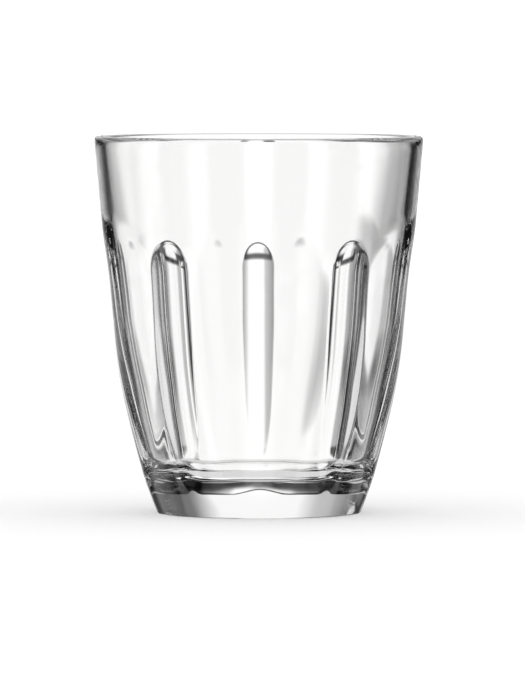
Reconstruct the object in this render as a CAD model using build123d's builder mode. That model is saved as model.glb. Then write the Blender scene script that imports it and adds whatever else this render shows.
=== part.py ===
from build123d import *
import os
from math import asin, cos, degrees, radians, sin, tan

# A pressed glass tumbler: a plain band under the rim, and below it arched flutes cut in the
# barrelled body, five wide ones with five narrow ones between them, on a plain tapered foot.
# Millimetres. +Z is up, the glass stands on Z = 0 and its middle line is the Z axis.

# Body
height = 90.5               # table to the top of the rim
rim_radius = 39.6           # outside of the rim
side_taper = 5.15           # degrees, the straight upper side against the vertical
bend_height = 33.0          # where the upper side and the lower side would meet
lower_taper = 15.6          # degrees, the lower side against the vertical
barrel_radius = 128.0       # roundness of the curve that joins the two sides
heel_height = 7.9           # top edge of the foot
foot_taper = 20.15          # degrees, the foot against the vertical
base_bevel = 0.5            # bevel at the edge of the foot

# Inside
rim_wall = 2.4              # glass thickness at the rim
rim_flat = 0.8              # what is left between the two bevels of the rim
bowl_taper = 6.9            # degrees, the inside wall against the vertical
bowl_bend_height = 40.0     # where the inside wall turns in
bowl_lower_taper = 15.73    # degrees, the inside wall below that
bowl_bend_radius = 110.0    # the curve of that turn
floor_thickness = 9.5       # glass under the drink
floor_corner_radius = 7.0   # round between wall and floor
ring_width = 4.0            # flat ring the glass stands on
hollow_depth = 0.7          # the underside rises this much inside the ring
hollow_slope_width = 3.0    # width of the sloped border of that hollow

# Flutes
flute_pairs = 5             # wide flutes, each with a narrow one beside it
first_wide_angle = -89.4    # degrees from +X to the middle of the first wide flute
narrow_angle = 16.8         # degrees taken by a narrow flute
wide_depth = 1.2            # middle of a wide flute under the body's surface
narrow_depth = 1.5          # the same for a narrow flute
wide_spring_share = 0.192   # of the straight upper side, where the arch of a wide flute begins
narrow_spring_share = 0.302  # the same for a narrow flute
wide_arch_rise = 18.0       # height of the arched top of a wide flute
narrow_arch_rise = 7.5      # the same for a narrow flute
heel_flute_depth = 0.2      # what is left of the flutes at the top edge of the foot
arch_overrun = 1.5          # the arch of a cutting shape runs on past the glass, times its length
side_overrun = 1.25         # the same for its two sides, times their angle
tool_margin = 1.0           # how far a cutting shape reaches past the glass


def slope(taper):
    """Run outwards for each millimetre of height."""
    return tan(radians(taper))


def side_radius(z):
    """Body radius on the straight upper side."""
    return rim_radius - slope(side_taper) * (height - z)


# Worked out: body
bend_radius = side_radius(bend_height)
heel_radius = bend_radius - slope(lower_taper) * (bend_height - heel_height)
base_radius = heel_radius - slope(foot_taper) * heel_height
barrel_reach = barrel_radius * slope((lower_taper - side_taper) / 2)
barrel_top_height = bend_height + barrel_reach * cos(radians(side_taper))
barrel_foot_height = bend_height - barrel_reach * cos(radians(lower_taper))
barrel_foot_radius = heel_radius + slope(lower_taper) * (barrel_foot_height - heel_height)
bend_point = (bend_radius, bend_height)
barrel_top = (side_radius(barrel_top_height), barrel_top_height)
barrel_foot = (barrel_foot_radius, barrel_foot_height)

# Worked out: inside
rim_bevel = (rim_wall - rim_flat) / 2
bowl_rim_radius = rim_radius - rim_wall
bowl_bend_inner = bowl_rim_radius - slope(bowl_taper) * (height - bowl_bend_height)
floor_radius = bowl_bend_inner - slope(bowl_lower_taper) * (bowl_bend_height - floor_thickness)
ring_inner_radius = base_radius - ring_width
hollow_radius = ring_inner_radius - hollow_slope_width

# Worked out: flutes
pitch_angle = 360 / flute_pairs
wide_angle = pitch_angle - narrow_angle


def centre_offset(depth, angle, at_radius):
    """From the glass's middle line to the middle line of a flute's own round surface.

    That surface passes the body's surface at half the flute's angle on each side. The offset
    is positive behind the glass's middle, for a flute flatter than the body, and negative in
    front of the flute, for a hollow one.
    """
    flat_depth = at_radius * (1 - cos(radians(angle / 2)))
    return (2 * at_radius * depth - depth**2) / (2 * (flat_depth - depth))


def flute_tool(depth, angle, spring_share, arch_rise):
    """Cutting shape for a flute that faces +X, turned about the flute's own middle line."""
    spring_height = barrel_top_height + spring_share * (height - barrel_top_height)
    spring_radius = side_radius(spring_height)
    offset = centre_offset(depth, angle, spring_radius)
    spring = (spring_radius - depth + offset, spring_height)
    bend = (bend_radius - depth + offset, bend_height)
    heel = heel_radius - heel_flute_depth + offset
    lower_run = (bend[0] - heel) / (bend_height - heel_height)
    foot = (heel - lower_run * (heel_height + tool_margin), -tool_margin)
    arch_radius = (arch_rise**2 + depth**2) / (2 * depth)
    arch_turn = arch_overrun * degrees(asin(arch_rise / arch_radius))
    edge_run = spring_radius * sin(radians(angle / 2))
    side_turn = side_overrun * degrees(asin(edge_run / abs(spring[0])))
    with BuildPart() as tool:
        with BuildSketch(Plane.XZ):
            with BuildLine():
                FilletPolyline(spring, bend, foot, radius=barrel_radius)
                top = JernArc(spring, (slope(side_taper), 1), arch_radius, -arch_turn) @ 1
                outer = max(top.X, rim_radius + offset) + tool_margin
                Polyline(top, (outer, top.Y), (outer, -tool_margin), foot)
            make_face()
        revolve(axis=Axis.Z, revolution_arc=2 * side_turn)
    return Pos(-offset, 0, 0) * Rot(0, 0, -side_turn) * tool.part


wide_flute = flute_tool(wide_depth, wide_angle, wide_spring_share, wide_arch_rise)
narrow_flute = flute_tool(narrow_depth, narrow_angle, narrow_spring_share, narrow_arch_rise)

with BuildPart() as tumbler:
    with BuildSketch(Plane.XZ):
        with BuildLine():
            Polyline((base_radius, 0), (heel_radius, heel_height), barrel_foot)
            Bezier(barrel_foot, bend_point, barrel_top)
            Polyline(barrel_top, (rim_radius, height), (bowl_rim_radius, height))
            bowl = FilletPolyline(
                (bowl_rim_radius, height),
                (bowl_bend_inner, bowl_bend_height),
                (floor_radius, floor_thickness),
                (0, floor_thickness),
                radius=[bowl_bend_radius, floor_corner_radius],
            )
            Polyline(
                bowl @ 1,
                (0, hollow_depth),
                (hollow_radius, hollow_depth),
                (ring_inner_radius, 0),
                (base_radius, 0),
            )
        make_face()
    revolve(axis=Axis.Z)
    chamfer(tumbler.edges().group_by(Axis.Z)[-1], rim_bevel)
    chamfer(tumbler.edges().group_by(Axis.Z)[0].sort_by(SortBy.RADIUS)[-1], base_bevel)
    with PolarLocations(0, flute_pairs, start_angle=first_wide_angle):
        add(wide_flute, mode=Mode.SUBTRACT)
    with PolarLocations(0, flute_pairs, start_angle=first_wide_angle + pitch_angle / 2):
        add(narrow_flute, mode=Mode.SUBTRACT)

tumbler.part.label = "tumbler"
os.makedirs("parts", exist_ok=True)
export_step(tumbler.part, "parts/tumbler.step")
print("volume of glass, ml:", round(tumbler.part.volume / 1000, 1))
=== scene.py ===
import math

import bpy
import numpy as np
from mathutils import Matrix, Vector


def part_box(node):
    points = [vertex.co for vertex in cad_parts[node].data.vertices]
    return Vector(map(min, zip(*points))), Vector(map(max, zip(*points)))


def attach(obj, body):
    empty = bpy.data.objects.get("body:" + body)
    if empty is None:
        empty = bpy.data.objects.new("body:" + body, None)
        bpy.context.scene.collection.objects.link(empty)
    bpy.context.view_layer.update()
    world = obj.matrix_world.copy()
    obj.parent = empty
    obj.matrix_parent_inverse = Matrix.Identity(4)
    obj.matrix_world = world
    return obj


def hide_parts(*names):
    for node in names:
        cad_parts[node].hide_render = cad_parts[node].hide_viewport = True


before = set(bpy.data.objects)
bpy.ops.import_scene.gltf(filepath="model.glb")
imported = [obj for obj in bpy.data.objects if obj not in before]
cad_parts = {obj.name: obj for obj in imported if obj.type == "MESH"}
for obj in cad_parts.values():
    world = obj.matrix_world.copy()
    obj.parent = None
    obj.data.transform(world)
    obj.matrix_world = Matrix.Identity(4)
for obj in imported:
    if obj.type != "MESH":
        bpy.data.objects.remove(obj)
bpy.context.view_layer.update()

bl_info = {
    "name": "Fluted Juice Glass",
    "version": (1, 0, 0),
    "blender": (4, 5, 0),
    "location": "View3D > Sidebar > Juice Glass",
    "description": "Pressed tumbler with arched flutes, on a pale studio floor",
    "category": "Object",
}

MM = 0.001
GLASS_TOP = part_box("tumbler")[1][2]


# ---------------------------------------------------------------- sizes and colours

class GlassShape(bpy.types.PropertyGroup):
    """Sizes of the glass, as in the solid."""

    height: bpy.props.FloatProperty(
        name="Height", description="Table to the top of the rim",
        default=GLASS_TOP, unit="LENGTH")
    rim_radius: bpy.props.FloatProperty(
        name="Rim radius", description="Outside of the rim", default=39.6 * MM, unit="LENGTH")
    side_taper: bpy.props.FloatProperty(
        name="Side taper", description="Straight upper side against the vertical",
        default=math.radians(5.15), subtype="ANGLE")
    bend_height: bpy.props.FloatProperty(
        name="Bend height", description="Where the upper and lower sides would meet",
        default=33.0 * MM, unit="LENGTH")
    lower_taper: bpy.props.FloatProperty(
        name="Lower taper", description="Lower side against the vertical",
        default=math.radians(15.6), subtype="ANGLE")
    barrel_radius: bpy.props.FloatProperty(
        name="Barrel radius", description="Curve that joins the two sides",
        default=128.0 * MM, unit="LENGTH")
    heel_height: bpy.props.FloatProperty(
        name="Heel height", description="Top edge of the foot", default=7.9 * MM, unit="LENGTH")
    foot_taper: bpy.props.FloatProperty(
        name="Foot taper", description="Foot against the vertical",
        default=math.radians(20.15), subtype="ANGLE")
    base_edge: bpy.props.FloatProperty(
        name="Base edge", description="Round at the edge of the foot",
        default=0.5 * MM, unit="LENGTH")
    rim_wall: bpy.props.FloatProperty(
        name="Rim wall", description="Glass thickness at the rim",
        default=2.4 * MM, unit="LENGTH")
    bowl_taper: bpy.props.FloatProperty(
        name="Bowl taper", description="Inside wall against the vertical",
        default=math.radians(6.9), subtype="ANGLE")
    bowl_bend_height: bpy.props.FloatProperty(
        name="Bowl bend height", description="Where the inside wall turns in",
        default=40.0 * MM, unit="LENGTH")
    bowl_lower_taper: bpy.props.FloatProperty(
        name="Bowl lower taper", description="Inside wall below the bend",
        default=math.radians(15.73), subtype="ANGLE")
    bowl_bend_radius: bpy.props.FloatProperty(
        name="Bowl bend radius", description="Curve of the inside wall's turn",
        default=110.0 * MM, unit="LENGTH")
    floor_thickness: bpy.props.FloatProperty(
        name="Floor thickness", description="Glass under the drink",
        default=9.5 * MM, unit="LENGTH")
    floor_corner: bpy.props.FloatProperty(
        name="Floor corner", description="Round between wall and floor",
        default=7.0 * MM, unit="LENGTH")
    ring_width: bpy.props.FloatProperty(
        name="Ring width", description="Flat ring the glass stands on",
        default=4.0 * MM, unit="LENGTH")
    hollow_depth: bpy.props.FloatProperty(
        name="Hollow depth", description="Rise of the underside inside the ring",
        default=0.7 * MM, unit="LENGTH")
    hollow_slope: bpy.props.FloatProperty(
        name="Hollow slope", description="Width of the hollow's sloped border",
        default=3.0 * MM, unit="LENGTH")
    soft_edge: bpy.props.FloatProperty(
        name="Soft edge", description="Roundness of the hollow's edges and of the rim",
        default=1.1 * MM, unit="LENGTH")


class GlassFlutes(bpy.types.PropertyGroup):
    """Sizes of the flutes, as in the solid."""

    pairs: bpy.props.IntProperty(
        name="Pairs", description="Wide flutes, each with a narrow one beside it", default=5)
    first_wide: bpy.props.FloatProperty(
        name="First wide flute", description="From +X to the middle of a wide flute",
        default=math.radians(-89.4), subtype="ANGLE")
    narrow_angle: bpy.props.FloatProperty(
        name="Narrow angle", description="Turn taken by a narrow flute",
        default=math.radians(16.8), subtype="ANGLE")
    wide_depth: bpy.props.FloatProperty(
        name="Wide depth", description="Middle of a wide flute under the body's surface",
        default=1.2 * MM, unit="LENGTH")
    narrow_depth: bpy.props.FloatProperty(
        name="Narrow depth", description="Middle of a narrow flute under the body's surface",
        default=1.5 * MM, unit="LENGTH")
    wide_spring: bpy.props.FloatProperty(
        name="Wide spring", description="Share of the straight side below a wide arch",
        default=0.192, subtype="FACTOR")
    narrow_spring: bpy.props.FloatProperty(
        name="Narrow spring", description="Share of the straight side below a narrow arch",
        default=0.302, subtype="FACTOR")
    wide_rise: bpy.props.FloatProperty(
        name="Wide rise", description="Height of a wide flute's arched top",
        default=18.0 * MM, unit="LENGTH")
    narrow_rise: bpy.props.FloatProperty(
        name="Narrow rise", description="Height of a narrow flute's arched top",
        default=7.5 * MM, unit="LENGTH")
    heel_depth: bpy.props.FloatProperty(
        name="Heel depth", description="What is left of the flutes at the foot",
        default=0.2 * MM, unit="LENGTH")
    ridge_round: bpy.props.FloatProperty(
        name="Ridge round", description="How far fire polish softens the ridges",
        default=0.22 * MM, unit="LENGTH")


class GlassFinish(bpy.types.PropertyGroup):
    """Colour and surface of the glass."""

    clear: bpy.props.FloatVectorProperty(
        name="Clear", description="Colour of the clear glass", subtype="COLOR", size=3,
        default=(1.0, 1.0, 1.0))
    grey: bpy.props.FloatVectorProperty(
        name="Grey", description="Colour where the pressing is a little grey",
        subtype="COLOR", size=3, default=(0.985, 0.985, 0.98))
    drift_scale: bpy.props.FloatProperty(
        name="Drift scale", description="Grey drifts to the metre", default=45.0)
    refraction: bpy.props.FloatProperty(
        name="Refraction", description="Index of refraction of soda glass", default=1.52)
    dullness: bpy.props.FloatProperty(
        name="Dullness", description="Roughness where the polish is at its worst",
        default=0.012, subtype="FACTOR")
    polish_scale: bpy.props.FloatProperty(
        name="Polish scale", description="Polish marks to the metre", default=160.0)
    wave: bpy.props.FloatProperty(
        name="Wave", description="Depth of the unevenness the mould leaves",
        default=0.002 * MM, unit="LENGTH")
    wave_scale: bpy.props.FloatProperty(
        name="Wave scale", description="Waves to the metre", default=110.0)


class StudioSettings(bpy.types.PropertyGroup):
    """Camera, floor and light."""

    distance: bpy.props.FloatProperty(
        name="Distance", description="Camera to the middle of the glass",
        default=2.074, unit="LENGTH")
    eye_height: bpy.props.FloatProperty(
        name="Eye height", description="Camera above the table", default=0.1286, unit="LENGTH")
    aim_side: bpy.props.FloatProperty(
        name="Aim side", description="Middle of the picture beside the glass's middle",
        default=0.9 * MM, unit="LENGTH")
    aim_height: bpy.props.FloatProperty(
        name="Aim height", description="Middle of the picture above the table",
        default=39.1 * MM, unit="LENGTH")
    lens: bpy.props.FloatProperty(
        name="Lens", description="Focal length", default=444.2, unit="CAMERA")
    floor_radius: bpy.props.FloatProperty(
        name="Floor radius", description="Round floor", default=1.5, unit="LENGTH")
    floor_colour: bpy.props.FloatVectorProperty(
        name="Floor colour", description="Pale studio floor", subtype="COLOR", size=3,
        default=(0.98, 0.98, 0.98))
    floor_drift: bpy.props.FloatVectorProperty(
        name="Floor drift", description="Its colour in the faint drifts of the paint",
        subtype="COLOR", size=3, default=(0.9653, 0.9653, 0.9653))
    drift_scale: bpy.props.FloatProperty(
        name="Drift scale", description="Drifts of the floor's paint to the metre", default=9.0)
    floor_tooth: bpy.props.FloatProperty(
        name="Floor tooth", description="Depth of the paint's fine tooth",
        default=0.05 * MM, unit="LENGTH")
    tooth_scale: bpy.props.FloatProperty(
        name="Tooth scale", description="Marks of that tooth to the metre", default=900.0)
    floor_light: bpy.props.FloatProperty(
        name="Floor light", description="Level of the even light on the floor", default=1.07)
    table_level: bpy.props.FloatProperty(
        name="Table level", description="Pale table that shows through the glass from above",
        default=0.75, subtype="FACTOR")


# Light levels round the glass, as (degrees from +Y towards +X, level): lit backdrops, each as
# wide as shows through the middle of the glass, and between them black flags that draw its
# dark edges
SURROUND = (
    (-173, 1), (-168, 0.02), (-143, 0.02), (-139, 1), (-129, 1), (-124, 0.02), (-99, 0.02),
    (-95, 1), (-85, 1), (-80, 0.03), (-68, 0.6), (-46, 0.6), (-40, 0.03), (-27, 0.03),
    (-20, 0.22), (-12.6, 0.8), (-10, 1.12), (5.5, 1.12), (8, 0.6), (13.5, 0.46), (19.5, 0.3),
    (22, 0.02), (45, 0.02), (49, 0.4), (57, 0.4), (61, 0.02), (85, 0.02), (88, 1), (94, 1),
    (98, 0.02), (168, 0.02), (173, 1),
)
# The same below the glass's own level
LOW = (
    (-172, 1), (-167, 0.02), (-144, 0.02), (-140, 1), (-129, 1), (-124, 0.02), (-100, 0.02),
    (-96, 1), (-84, 1), (-79, 0.03), (-66, 0.8), (-42, 0.7), (-33, 0.02), (-18, 0.02),
    (-13, 0.3), (-9, 1.12), (5, 1.12), (8, 0.02), (40, 0.02), (44, 0.75), (60, 0.75),
    (65, 0.02), (81, 0.02), (85, 1), (96, 1), (100, 0.02), (124, 0.02), (129, 1), (140, 1),
    (144, 0.02), (167, 0.02), (172, 1),
)
# The same at the height of the lamp
LAMP = (
    (-180, 0.05), (-60, 0.05), (-45, 0.35), (-24, 0.6), (-15, 1), (15, 1), (24, 0.5), (30, 0.15),
    (60, 0.05), (120, 0.05), (180, 0.05),
)
# Shares of these and of the pale table under them, as (degrees above level, share). GAP darkens
# them in a slit a little above level, and over the lamp.
LOW_SHARE = ((-90, 1), (-13, 1), (-9.5, 0), (90, 0))
LAMP_SHARE = ((-90, 0), (11, 0), (15, 1), (90, 1))
GAP = ((-90, 1), (1.5, 1), (3, 0.05), (5, 0.05), (6.5, 1), (32, 1), (38, 0.05), (90, 0.05))
TABLE_SHARE = ((-90, 1), (-38, 1), (-32, 0), (90, 0))

# Steps along the half section: where a stretch has two numbers, the second is for the round at
# its end
STEPS = {
    "hollow": (5, 3), "ring": (4, 3), "base": (3, 6), "foot": 7, "heel": 8, "rim": (6, 7),
    "rim_inside": (1, 7), "bowl": (18, 10), "floor_corner": (9, 12), "floor": 5,
}
# Steps up the outside between the heel and the rim: (end in mm above the table, steps)
SIDE_STEPS = ((10.0, 8), (22.0, 18), (50.0, 28), (80.0, 52))
HEEL_ZONE = 0.75        # of the foot's height, where its finer steps begin

# How the columns round the glass crowd at the ridges
RIDGE_CROWDING = 2.2
RIDGE_ZONE = math.radians(1.6)
NARROW_CROWDING = 0.5       # the same within a narrow flute
CROWDING_SAMPLES = 7201     # angles at which the crowding is added up

ARCH_REACH = 1.5        # a flute's arch goes on up to this many times its rise
ARCH_LIMIT = 0.97       # and its circle up to this share of its radius
ON_SIDE = 0.02 * MM     # a point this near the plain outside belongs to it
ABOVE_BASE = 1.3        # times the round of the base, where the fluted outside may begin
MERGE = 0.002 * MM      # points nearer than this become one where the section is turned

FLOOR_ROUGHNESS = (0.8, 1.0)    # from least to most
FLOOR_SIDES = 96
CAMERA_RANGE = (0.01, 100.0)    # nearest and farthest that it sees, in metres
LIGHT_BOUNCES = 32              # enough for the light to leave the glass again


# ---------------------------------------------------------------- shader maths

class Value:
    """A number in a shader; sums written with it add their Math nodes."""

    def __init__(self, socket):
        self.socket = socket

    def math(self, operation, *terms):
        """A Math node of any kind."""
        node = add_node(self.socket.id_data, "ShaderNodeMath", {"operation": operation})
        for socket, term in zip(node.inputs, terms):
            plug(socket, term)
        return Value(node.outputs[0])

    def __add__(self, other):
        return self.math("ADD", self, other)

    def __sub__(self, other):
        return self.math("SUBTRACT", self, other)

    def __rsub__(self, other):
        return self.math("SUBTRACT", other, self)

    def __mul__(self, other):
        return self.math("MULTIPLY", self, other)

    def __truediv__(self, other):
        return self.math("DIVIDE", self, other)

    def __rtruediv__(self, other):
        return self.math("DIVIDE", other, self)

    __radd__ = __add__
    __rmul__ = __mul__

    def larger(self, other):
        return self.math("MAXIMUM", self, other)

    def smaller(self, other):
        return self.math("MINIMUM", self, other)


def plug(socket, given):
    """Link a value into a socket, or write a plain one on it."""
    if isinstance(given, Value):
        given = given.socket
    if isinstance(given, bpy.types.NodeSocket):
        socket.id_data.links.new(given, socket)
    else:
        socket.default_value = given


def add_node(tree, kind, settings=None, stops=None, **sockets):
    """Any other node: its settings first, then a ramp's stops, then its sockets."""
    node = tree.nodes.new(kind)
    for name, setting in (settings or {}).items():
        setattr(node, name, setting)
    if stops:
        marks = node.color_ramp.elements
        while len(marks) > 1:
            marks.remove(marks[-1])
        for number, (place, level) in enumerate(stops):
            mark = marks[0] if number == 0 else marks.new(place)
            mark.position = place
            mark.color = (level, level, level, 1)
    for name, given in sockets.items():
        plug(node.inputs[name.replace("_", " ")], given)
    return node


# ---------------------------------------------------------------- the section

def smooth_least(first, second, blend):
    """The lesser of two surfaces, with the edge between them rounded."""
    mix = np.clip(0.5 + 0.5 * (second - first) / blend, 0, 1)
    return second * (1 - mix) + first * mix - blend * mix * (1 - mix)


def bent_side(z, corner, upper, lower, radius):
    """Radius at a height on a side that turns from one taper to another round a corner."""
    corner_r, corner_z = corner
    reach = radius * math.tan((lower - upper) / 2)
    top_z = corner_z + reach * math.cos(upper)
    foot_z = corner_z - reach * math.cos(lower)
    # middle of the arc, square to the upper side where the arc starts
    middle_r = corner_r + math.tan(upper) * (top_z - corner_z) - radius * math.cos(upper)
    middle_z = top_z + radius * math.sin(upper)
    arc = middle_r + np.sqrt(np.maximum(radius**2 - (z - middle_z)**2, 0))
    straight = corner_r + np.where(z > corner_z, math.tan(upper), math.tan(lower)) * (z - corner_z)
    return np.where((z > top_z) | (z < foot_z), straight, arc)


class Section:
    """The half section of the plain glass and its flutes, worked out from their sizes."""

    def __init__(self, shape, flutes):
        self.shape, self.flutes = shape, flutes
        self.foot_slope = math.tan(shape.foot_taper)
        self.bend = (self.side(shape.bend_height), shape.bend_height)
        self.heel_radius = (self.bend[0] - math.tan(shape.lower_taper)
                            * (shape.bend_height - shape.heel_height))
        self.base_radius = self.heel_radius - self.foot_slope * shape.heel_height
        reach = shape.barrel_radius * math.tan((shape.lower_taper - shape.side_taper) / 2)
        self.barrel_top = shape.bend_height + reach * math.cos(shape.side_taper)

    def side(self, z):
        """Body radius on the straight upper side."""
        return self.shape.rim_radius - math.tan(self.shape.side_taper) * (self.shape.height - z)

    def barrel(self, z):
        """Body radius from the rim down through the barrel's curve to the heel."""
        shape = self.shape
        return bent_side(
            z, self.bend, shape.side_taper, shape.lower_taper, shape.barrel_radius)

    def foot(self, z):
        """Radius of the plain tapered foot."""
        return self.base_radius + self.foot_slope * z

    def flute(self, turn, z, depth, angle, spring_share, arch_rise):
        """Radius of one flute's surface, turn away from its middle."""
        shape, flutes = self.shape, self.flutes
        spring = self.barrel_top + spring_share * (shape.height - self.barrel_top)
        bend = (self.bend[0] - depth, self.bend[1])
        heel = self.heel_radius - flutes.heel_depth
        fade = math.atan((bend[0] - heel) / (shape.bend_height - shape.heel_height))
        arch = (arch_rise**2 + depth**2) / (2 * depth)
        above = np.maximum(z - spring, 0) / math.cos(shape.side_taper)
        rise = arch - np.sqrt(arch**2 - np.minimum(above, ARCH_LIMIT * arch)**2)
        valley = bent_side(z, bend, shape.side_taper, fade, shape.barrel_radius) + rise
        across = self.side(spring)
        flat = across * (1 - math.cos(angle / 2))
        offset = (2 * across * depth - depth**2) / (2 * (flat - depth))
        reach = np.abs(offset + valley)
        under = np.sqrt(np.maximum(reach**2 - (offset * np.sin(turn))**2, 0))
        surface = -offset * np.cos(turn) + math.copysign(1, offset) * under
        missed = (np.abs(turn) > angle) | (above > ARCH_REACH * arch_rise)
        return np.where(missed, shape.height, surface)

    def outside(self, around, z):
        """Radius of the fluted outside at an angle and a height."""
        flutes = self.flutes
        pitch = 2 * math.pi / flutes.pairs
        wide_turn = (around - flutes.first_wide + pitch / 2) % pitch - pitch / 2
        narrow_turn = (around - flutes.first_wide) % pitch - pitch / 2
        wide = self.flute(wide_turn, z, flutes.wide_depth, pitch - flutes.narrow_angle,
                          flutes.wide_spring, flutes.wide_rise)
        narrow = self.flute(narrow_turn, z, flutes.narrow_depth, flutes.narrow_angle,
                            flutes.narrow_spring, flutes.narrow_rise)
        radius = self.barrel(z)
        for surface in (wide, narrow, self.foot(z)):
            radius = smooth_least(radius, surface, flutes.ridge_round)
        return radius


# ---------------------------------------------------------------- drawing the section

class Pen:
    """Draws a chain of edges in the XZ plane with extrude and spin, as by hand."""

    def __init__(self, x, z):
        bpy.ops.object.select_all(action="DESELECT")
        bpy.ops.mesh.primitive_plane_add(size=MM, location=(x, 0, z))
        bpy.ops.object.transform_apply(location=True, rotation=False, scale=False)
        self.piece = bpy.context.object
        bpy.ops.object.mode_set(mode="EDIT")
        bpy.ops.mesh.select_mode(type="VERT")
        bpy.ops.mesh.select_all(action="SELECT")
        bpy.ops.mesh.merge(type="CENTER")
        self.x, self.z = x, z

    def line(self, x, z, steps=1):
        """A straight run in equal steps."""
        step = ((x - self.x) / steps, 0, (z - self.z) / steps)
        for _ in range(steps):
            bpy.ops.mesh.extrude_region_move(TRANSFORM_OT_translate={"value": step})
        self.x, self.z = x, z

    def round_corner(self, corner, end, radius, steps):
        """Run towards a corner, then round it with an exact arc, towards end."""
        run_steps, arc_steps = steps
        into = Vector((corner[0] - self.x, corner[1] - self.z)).normalized()
        out = Vector((end[0] - corner[0], end[1] - corner[1])).normalized()
        turn = math.atan2(into.x * out.y - into.y * out.x, into.dot(out))
        reach = radius * math.tan(abs(turn) / 2)
        start = Vector(corner) - into * reach
        self.line(start.x, start.y, run_steps)
        side = math.copysign(1, turn)
        centre = start + Vector((-into.y, into.x)) * side * radius
        bpy.ops.mesh.spin(
            steps=arc_steps, angle=abs(turn), center=(centre.x, 0, centre.y),
            axis=(0, side, 0))
        self.x, self.z = Vector(corner) + out * reach


def draw_section(section):
    """The whole half section, from under the floor, up the outside, and down the inside."""
    shape = section.shape
    ring_inner = section.base_radius - shape.ring_width
    hollow = ring_inner - shape.hollow_slope
    pen = Pen(0, shape.hollow_depth)
    # underside: the hollow, the standing ring and the round edge of the foot
    pen.round_corner(
        (hollow, shape.hollow_depth), (ring_inner, 0), shape.soft_edge, STEPS["hollow"])
    pen.round_corner(
        (ring_inner, 0), (section.base_radius, 0), shape.soft_edge, STEPS["ring"])
    heel_zone = (section.foot(shape.heel_height * HEEL_ZONE), shape.heel_height * HEEL_ZONE)
    pen.round_corner((section.base_radius, 0), heel_zone, shape.base_edge, STEPS["base"])
    # outside
    pen.line(*heel_zone, STEPS["foot"])
    pen.line(section.heel_radius, shape.heel_height, STEPS["heel"])
    for stop, steps in SIDE_STEPS:
        for z in np.linspace(pen.z, stop * MM, steps + 1)[1:]:
            pen.line(float(section.barrel(z)), float(z))
    # rim
    top = (shape.rim_radius, shape.height)
    inner_top = (shape.rim_radius - shape.rim_wall, shape.height)
    bend_z = shape.bowl_bend_height
    bend = (inner_top[0] - math.tan(shape.bowl_taper) * (shape.height - bend_z), bend_z)
    pen.round_corner(top, inner_top, shape.soft_edge, STEPS["rim"])
    pen.round_corner(inner_top, bend, shape.soft_edge, STEPS["rim_inside"])
    # inside
    floor_z = shape.floor_thickness
    floor_edge = (bend[0] - math.tan(shape.bowl_lower_taper) * (bend_z - floor_z), floor_z)
    pen.round_corner(bend, floor_edge, shape.bowl_bend_radius, STEPS["bowl"])
    pen.round_corner(floor_edge, (0, floor_z), shape.floor_corner, STEPS["floor_corner"])
    pen.line(0, floor_z, STEPS["floor"])
    return pen.piece


def crowded(count, flutes):
    """Angles round the glass, closer together at the ridges between flutes."""
    pitch = 2 * math.pi / flutes.pairs
    angles = np.linspace(0, 2 * math.pi, CROWDING_SAMPLES)
    from_narrow = (angles - flutes.first_wide) % pitch - pitch / 2
    from_ridge = np.abs(np.abs(from_narrow) - flutes.narrow_angle / 2)
    closeness = 1 + RIDGE_CROWDING * np.exp(-(from_ridge / RIDGE_ZONE)**2)
    closeness += NARROW_CROWDING * (np.abs(from_narrow) < flutes.narrow_angle / 2)
    total = np.concatenate(([0], np.cumsum((closeness[1:] + closeness[:-1]) / 2)))
    return np.interp(np.linspace(0, total[-1], count + 1), total, angles)


def press_flutes(piece, section, columns):
    """Move the outside's points in to the flutes, and crowd the columns at the ridges."""
    mesh = piece.data
    places = np.empty(len(mesh.vertices) * 3)
    mesh.vertices.foreach_get("co", places)
    places = places.reshape(-1, 3)
    radius = np.hypot(places[:, 0], places[:, 1])
    around = np.arctan2(places[:, 1], places[:, 0]) % (2 * math.pi)
    even = np.linspace(0, 2 * math.pi, columns + 1)
    around = np.interp(around, even, crowded(columns, section.flutes))
    z = places[:, 2]
    plain = np.minimum(section.barrel(z), section.foot(z))
    on_side = (np.abs(radius - plain) < ON_SIDE) & (z > section.shape.base_edge * ABOVE_BASE)
    radius = np.where(on_side, section.outside(around, z), radius)
    places[:, 0] = radius * np.cos(around)
    places[:, 1] = radius * np.sin(around)
    mesh.vertices.foreach_set("co", places.ravel())
    mesh.update()


# ---------------------------------------------------------------- finishes

def mixed(tree, share, first, second):
    """A colour between two others."""
    mix = add_node(tree, "ShaderNodeMix", {"data_type": "RGBA"})
    plug(mix.inputs["Factor"], share)
    plug(mix.inputs[6], (*first, 1))
    plug(mix.inputs[7], (*second, 1))
    return mix.outputs[2]


def clear_glass(finish):
    """Clear pressed glass, fire polished, with the unevenness that the mould leaves."""
    material = bpy.data.materials.new("clear_pressed_glass")
    material.use_nodes = True
    tree = material.node_tree
    shader = tree.nodes["Principled BSDF"]
    shader.inputs["Transmission Weight"].default_value = 1.0
    shader.inputs["IOR"].default_value = finish.refraction
    place = add_node(tree, "ShaderNodeTexCoord").outputs["Object"]
    # faint grey drifts in the glass
    drift = add_node(
        tree, "ShaderNodeTexNoise", Vector=place, Scale=finish.drift_scale, Detail=3.0)
    plug(shader.inputs["Base Color"],
         mixed(tree, drift.outputs["Fac"], finish.clear, finish.grey))
    # polish: almost none of it is dull
    polish = add_node(
        tree, "ShaderNodeTexNoise", Vector=place, Scale=finish.polish_scale, Detail=2.0)
    plug(shader.inputs["Roughness"], Value(polish.outputs["Fac"]) * finish.dullness)
    # the mould's slow waves
    waves = add_node(
        tree, "ShaderNodeTexNoise", Vector=place, Scale=finish.wave_scale, Detail=1.0)
    bump = add_node(tree, "ShaderNodeBump", Strength=1.0, Distance=finish.wave,
                    Height=waves.outputs["Fac"])
    plug(shader.inputs["Normal"], bump.outputs["Normal"])
    return material


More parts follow.
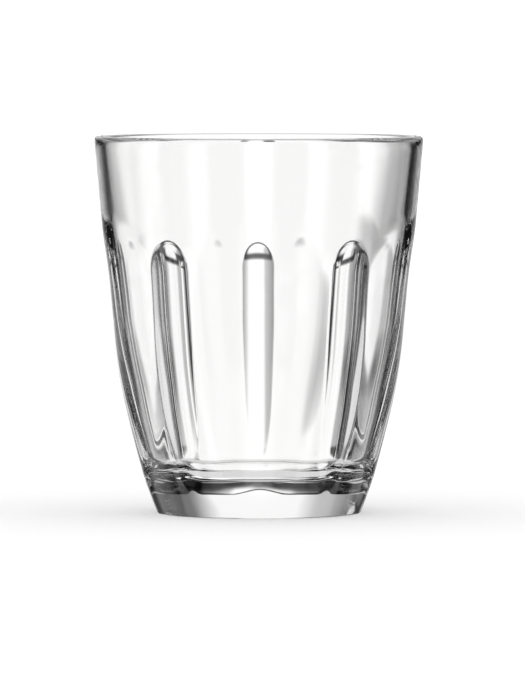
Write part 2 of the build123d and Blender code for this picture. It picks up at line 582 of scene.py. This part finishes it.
def studio_floor(studio):
    """Matt pale floor with a very fine tooth."""
    material = bpy.data.materials.new("studio_floor")
    material.use_nodes = True
    tree = material.node_tree
    shader = tree.nodes["Principled BSDF"]
    shader.inputs["Specular IOR Level"].default_value = 0.0
    place = add_node(tree, "ShaderNodeTexCoord").outputs["Object"]
    # large faint drifts in the paint, and its tooth
    drift = add_node(
        tree, "ShaderNodeTexNoise", Vector=place, Scale=studio.drift_scale, Detail=3.0)
    plug(shader.inputs["Base Color"],
         mixed(tree, drift.outputs["Fac"], studio.floor_colour, studio.floor_drift))
    tooth = add_node(
        tree, "ShaderNodeTexNoise", Vector=place, Scale=studio.tooth_scale, Detail=2.0)
    least, most = FLOOR_ROUGHNESS
    plug(shader.inputs["Roughness"], Value(tooth.outputs["Fac"]) * (most - least) + least)
    bump = add_node(tree, "ShaderNodeBump", Strength=0.3, Distance=studio.floor_tooth,
                    Height=tooth.outputs["Fac"])
    plug(shader.inputs["Normal"], bump.outputs["Normal"])
    return material


def lit_surround(studio):
    """Backdrops, flags and lamp for the glass, and an even soft light for everything matt."""
    world = bpy.data.worlds.new("studio")
    bpy.context.scene.world = world
    world.use_nodes = True
    # light is only found by the rays themselves, so that each kind of ray can see its own
    world.cycles.sampling_method = "NONE"
    tree = world.node_tree
    tree.nodes.clear()
    output = add_node(tree, "ShaderNodeOutputWorld")
    light = add_node(tree, "ShaderNodeBackground", Color=(1, 1, 1, 1))
    tree.links.new(light.outputs[0], output.inputs[0])
    way = add_node(tree, "ShaderNodeSeparateXYZ",
                   Vector=add_node(tree, "ShaderNodeTexCoord").outputs["Generated"])
    side, ahead, up = (Value(socket) for socket in way.outputs)
    bearing = side.math("ARCTAN2", side, ahead) / (2 * math.pi)
    rise = up.math("ARCSINE", up) / math.pi

    def ramp(turns, circle, stops):
        """Levels between stops in degrees, for an angle in shares of its circle."""
        marks = [(angle / circle + 0.5, level) for angle, level in stops]
        return Value(add_node(tree, "ShaderNodeValToRGB", Fac=turns + 0.5, stops=marks)
                     .outputs[0])

    level = ramp(bearing, 360, SURROUND)
    for stops, shares in ((LOW, LOW_SHARE), (LAMP, LAMP_SHARE)):
        share = ramp(rise, 180, shares)
        level = level * (1 - share) + ramp(bearing, 360, stops) * share
    table = ramp(rise, 180, TABLE_SHARE)
    level = level * ramp(rise, 180, GAP) * (1 - table) + table * studio.table_level

    # white to the camera, even on the floor, and white through the glass for the floor, so
    # that its shadow stays a clear glass's
    ray = {name: Value(socket) for name, socket
           in add_node(tree, "ShaderNodeLightPath").outputs.items()}
    on_floor = ray["Is Diffuse Ray"] * studio.floor_light
    through_glass = ray["Diffuse Depth"].smaller(1)
    white = on_floor.larger(through_glass).larger(ray["Is Camera Ray"])
    plug(light.inputs["Strength"], level.larger(white))


# ---------------------------------------------------------------- operators

class GLASS_OT_stage(bpy.types.Operator):
    """Set the camera, the pale floor and the soft light"""

    bl_idname = "glass.stage"
    bl_label = "Studio"

    def execute(self, context):
        studio = context.scene.glass_studio
        scene = context.scene
        camera = bpy.data.cameras.new("camera")
        eye = bpy.data.objects.new("camera", camera)
        scene.collection.objects.link(eye)
        scene.camera = eye
        camera.lens = studio.lens
        camera.clip_start, camera.clip_end = CAMERA_RANGE
        drop = studio.eye_height - studio.aim_height
        eye.location = (
            studio.aim_side, -math.sqrt(studio.distance**2 - drop**2), studio.eye_height)
        aim = Vector((studio.aim_side, 0, studio.aim_height)) - eye.location
        eye.rotation_euler = aim.to_track_quat("-Z", "Y").to_euler()

        bpy.ops.object.select_all(action="DESELECT")
        bpy.ops.mesh.primitive_circle_add(
            vertices=FLOOR_SIDES, radius=studio.floor_radius, fill_type="NGON", location=(0, 0, 0))
        floor = context.object
        floor.name = "floor"
        # the glass shows the studio's backdrops and flags, not the floor
        floor.visible_transmission = floor.visible_glossy = False
        floor.data.materials.append(studio_floor(studio))
        lit_surround(studio)

        scene.view_settings.view_transform = "Standard"
        cycles = scene.cycles
        cycles.max_bounces = cycles.transmission_bounces = cycles.glossy_bounces = LIGHT_BOUNCES
        return {"FINISHED"}


class GLASS_OT_tumbler(bpy.types.Operator):
    """Draw the section, spin it round and press the flutes"""

    bl_idname = "glass.tumbler"
    bl_label = "Tumbler"

    columns: bpy.props.IntProperty(
        name="Columns", description="Steps round the glass", default=440)

    def execute(self, context):
        scene = context.scene
        section = Section(scene.glass_shape, scene.glass_flutes)
        piece = draw_section(section)
        bpy.ops.object.mode_set(mode="OBJECT")
        turned = piece.modifiers.new("turned", "SCREW")
        turned.axis = "Z"
        turned.steps = turned.render_steps = self.columns
        turned.use_merge_vertices = True
        turned.merge_threshold = MERGE
        bpy.ops.object.modifier_apply(modifier=turned.name)
        press_flutes(piece, section, self.columns)
        bpy.ops.object.mode_set(mode="EDIT")
        bpy.ops.mesh.select_all(action="SELECT")
        bpy.ops.mesh.normals_make_consistent(inside=False)
        bpy.ops.mesh.select_all(action="DESELECT")
        bpy.ops.mesh.select_non_manifold()
        bpy.ops.object.mode_set(mode="OBJECT")
        bpy.ops.object.shade_smooth()
        if piece.data.total_vert_sel:
            raise RuntimeError("the glass has an open seam")
        piece.name = piece.data.name = "tumbler_glass"
        piece.data.materials.append(clear_glass(scene.glass_finish))
        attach(piece, "root")
        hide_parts("tumbler")
        return {"FINISHED"}


class GLASS_PT_panel(bpy.types.Panel):
    """The glass's sizes and the steps that make it"""

    bl_idname = "GLASS_PT_panel"
    bl_label = "Juice Glass"
    bl_space_type = "VIEW_3D"
    bl_region_type = "UI"
    bl_category = "Juice Glass"

    def draw(self, context):
        layout = self.layout
        for step in (GLASS_OT_stage, GLASS_OT_tumbler):
            layout.operator(step.bl_idname)
        for name in GROUPS:
            box = layout.box()
            group = getattr(context.scene, name)
            for key in group.bl_rna.properties.keys():
                if key not in {"rna_type", "name"}:
                    box.prop(group, key)


GROUPS = {
    "glass_shape": GlassShape,
    "glass_flutes": GlassFlutes,
    "glass_finish": GlassFinish,
    "glass_studio": StudioSettings,
}
CLASSES = (*GROUPS.values(), GLASS_OT_stage, GLASS_OT_tumbler, GLASS_PT_panel)


def register():
    for cls in CLASSES:
        bpy.utils.register_class(cls)
    for name, group in GROUPS.items():
        setattr(bpy.types.Scene, name, bpy.props.PointerProperty(type=group))


def unregister():
    for name in GROUPS:
        delattr(bpy.types.Scene, name)
    for cls in reversed(CLASSES):
        bpy.utils.unregister_class(cls)


def main():
    register()
    bpy.ops.glass.stage()
    bpy.ops.glass.tumbler()


if __name__ == "__main__":
    main()
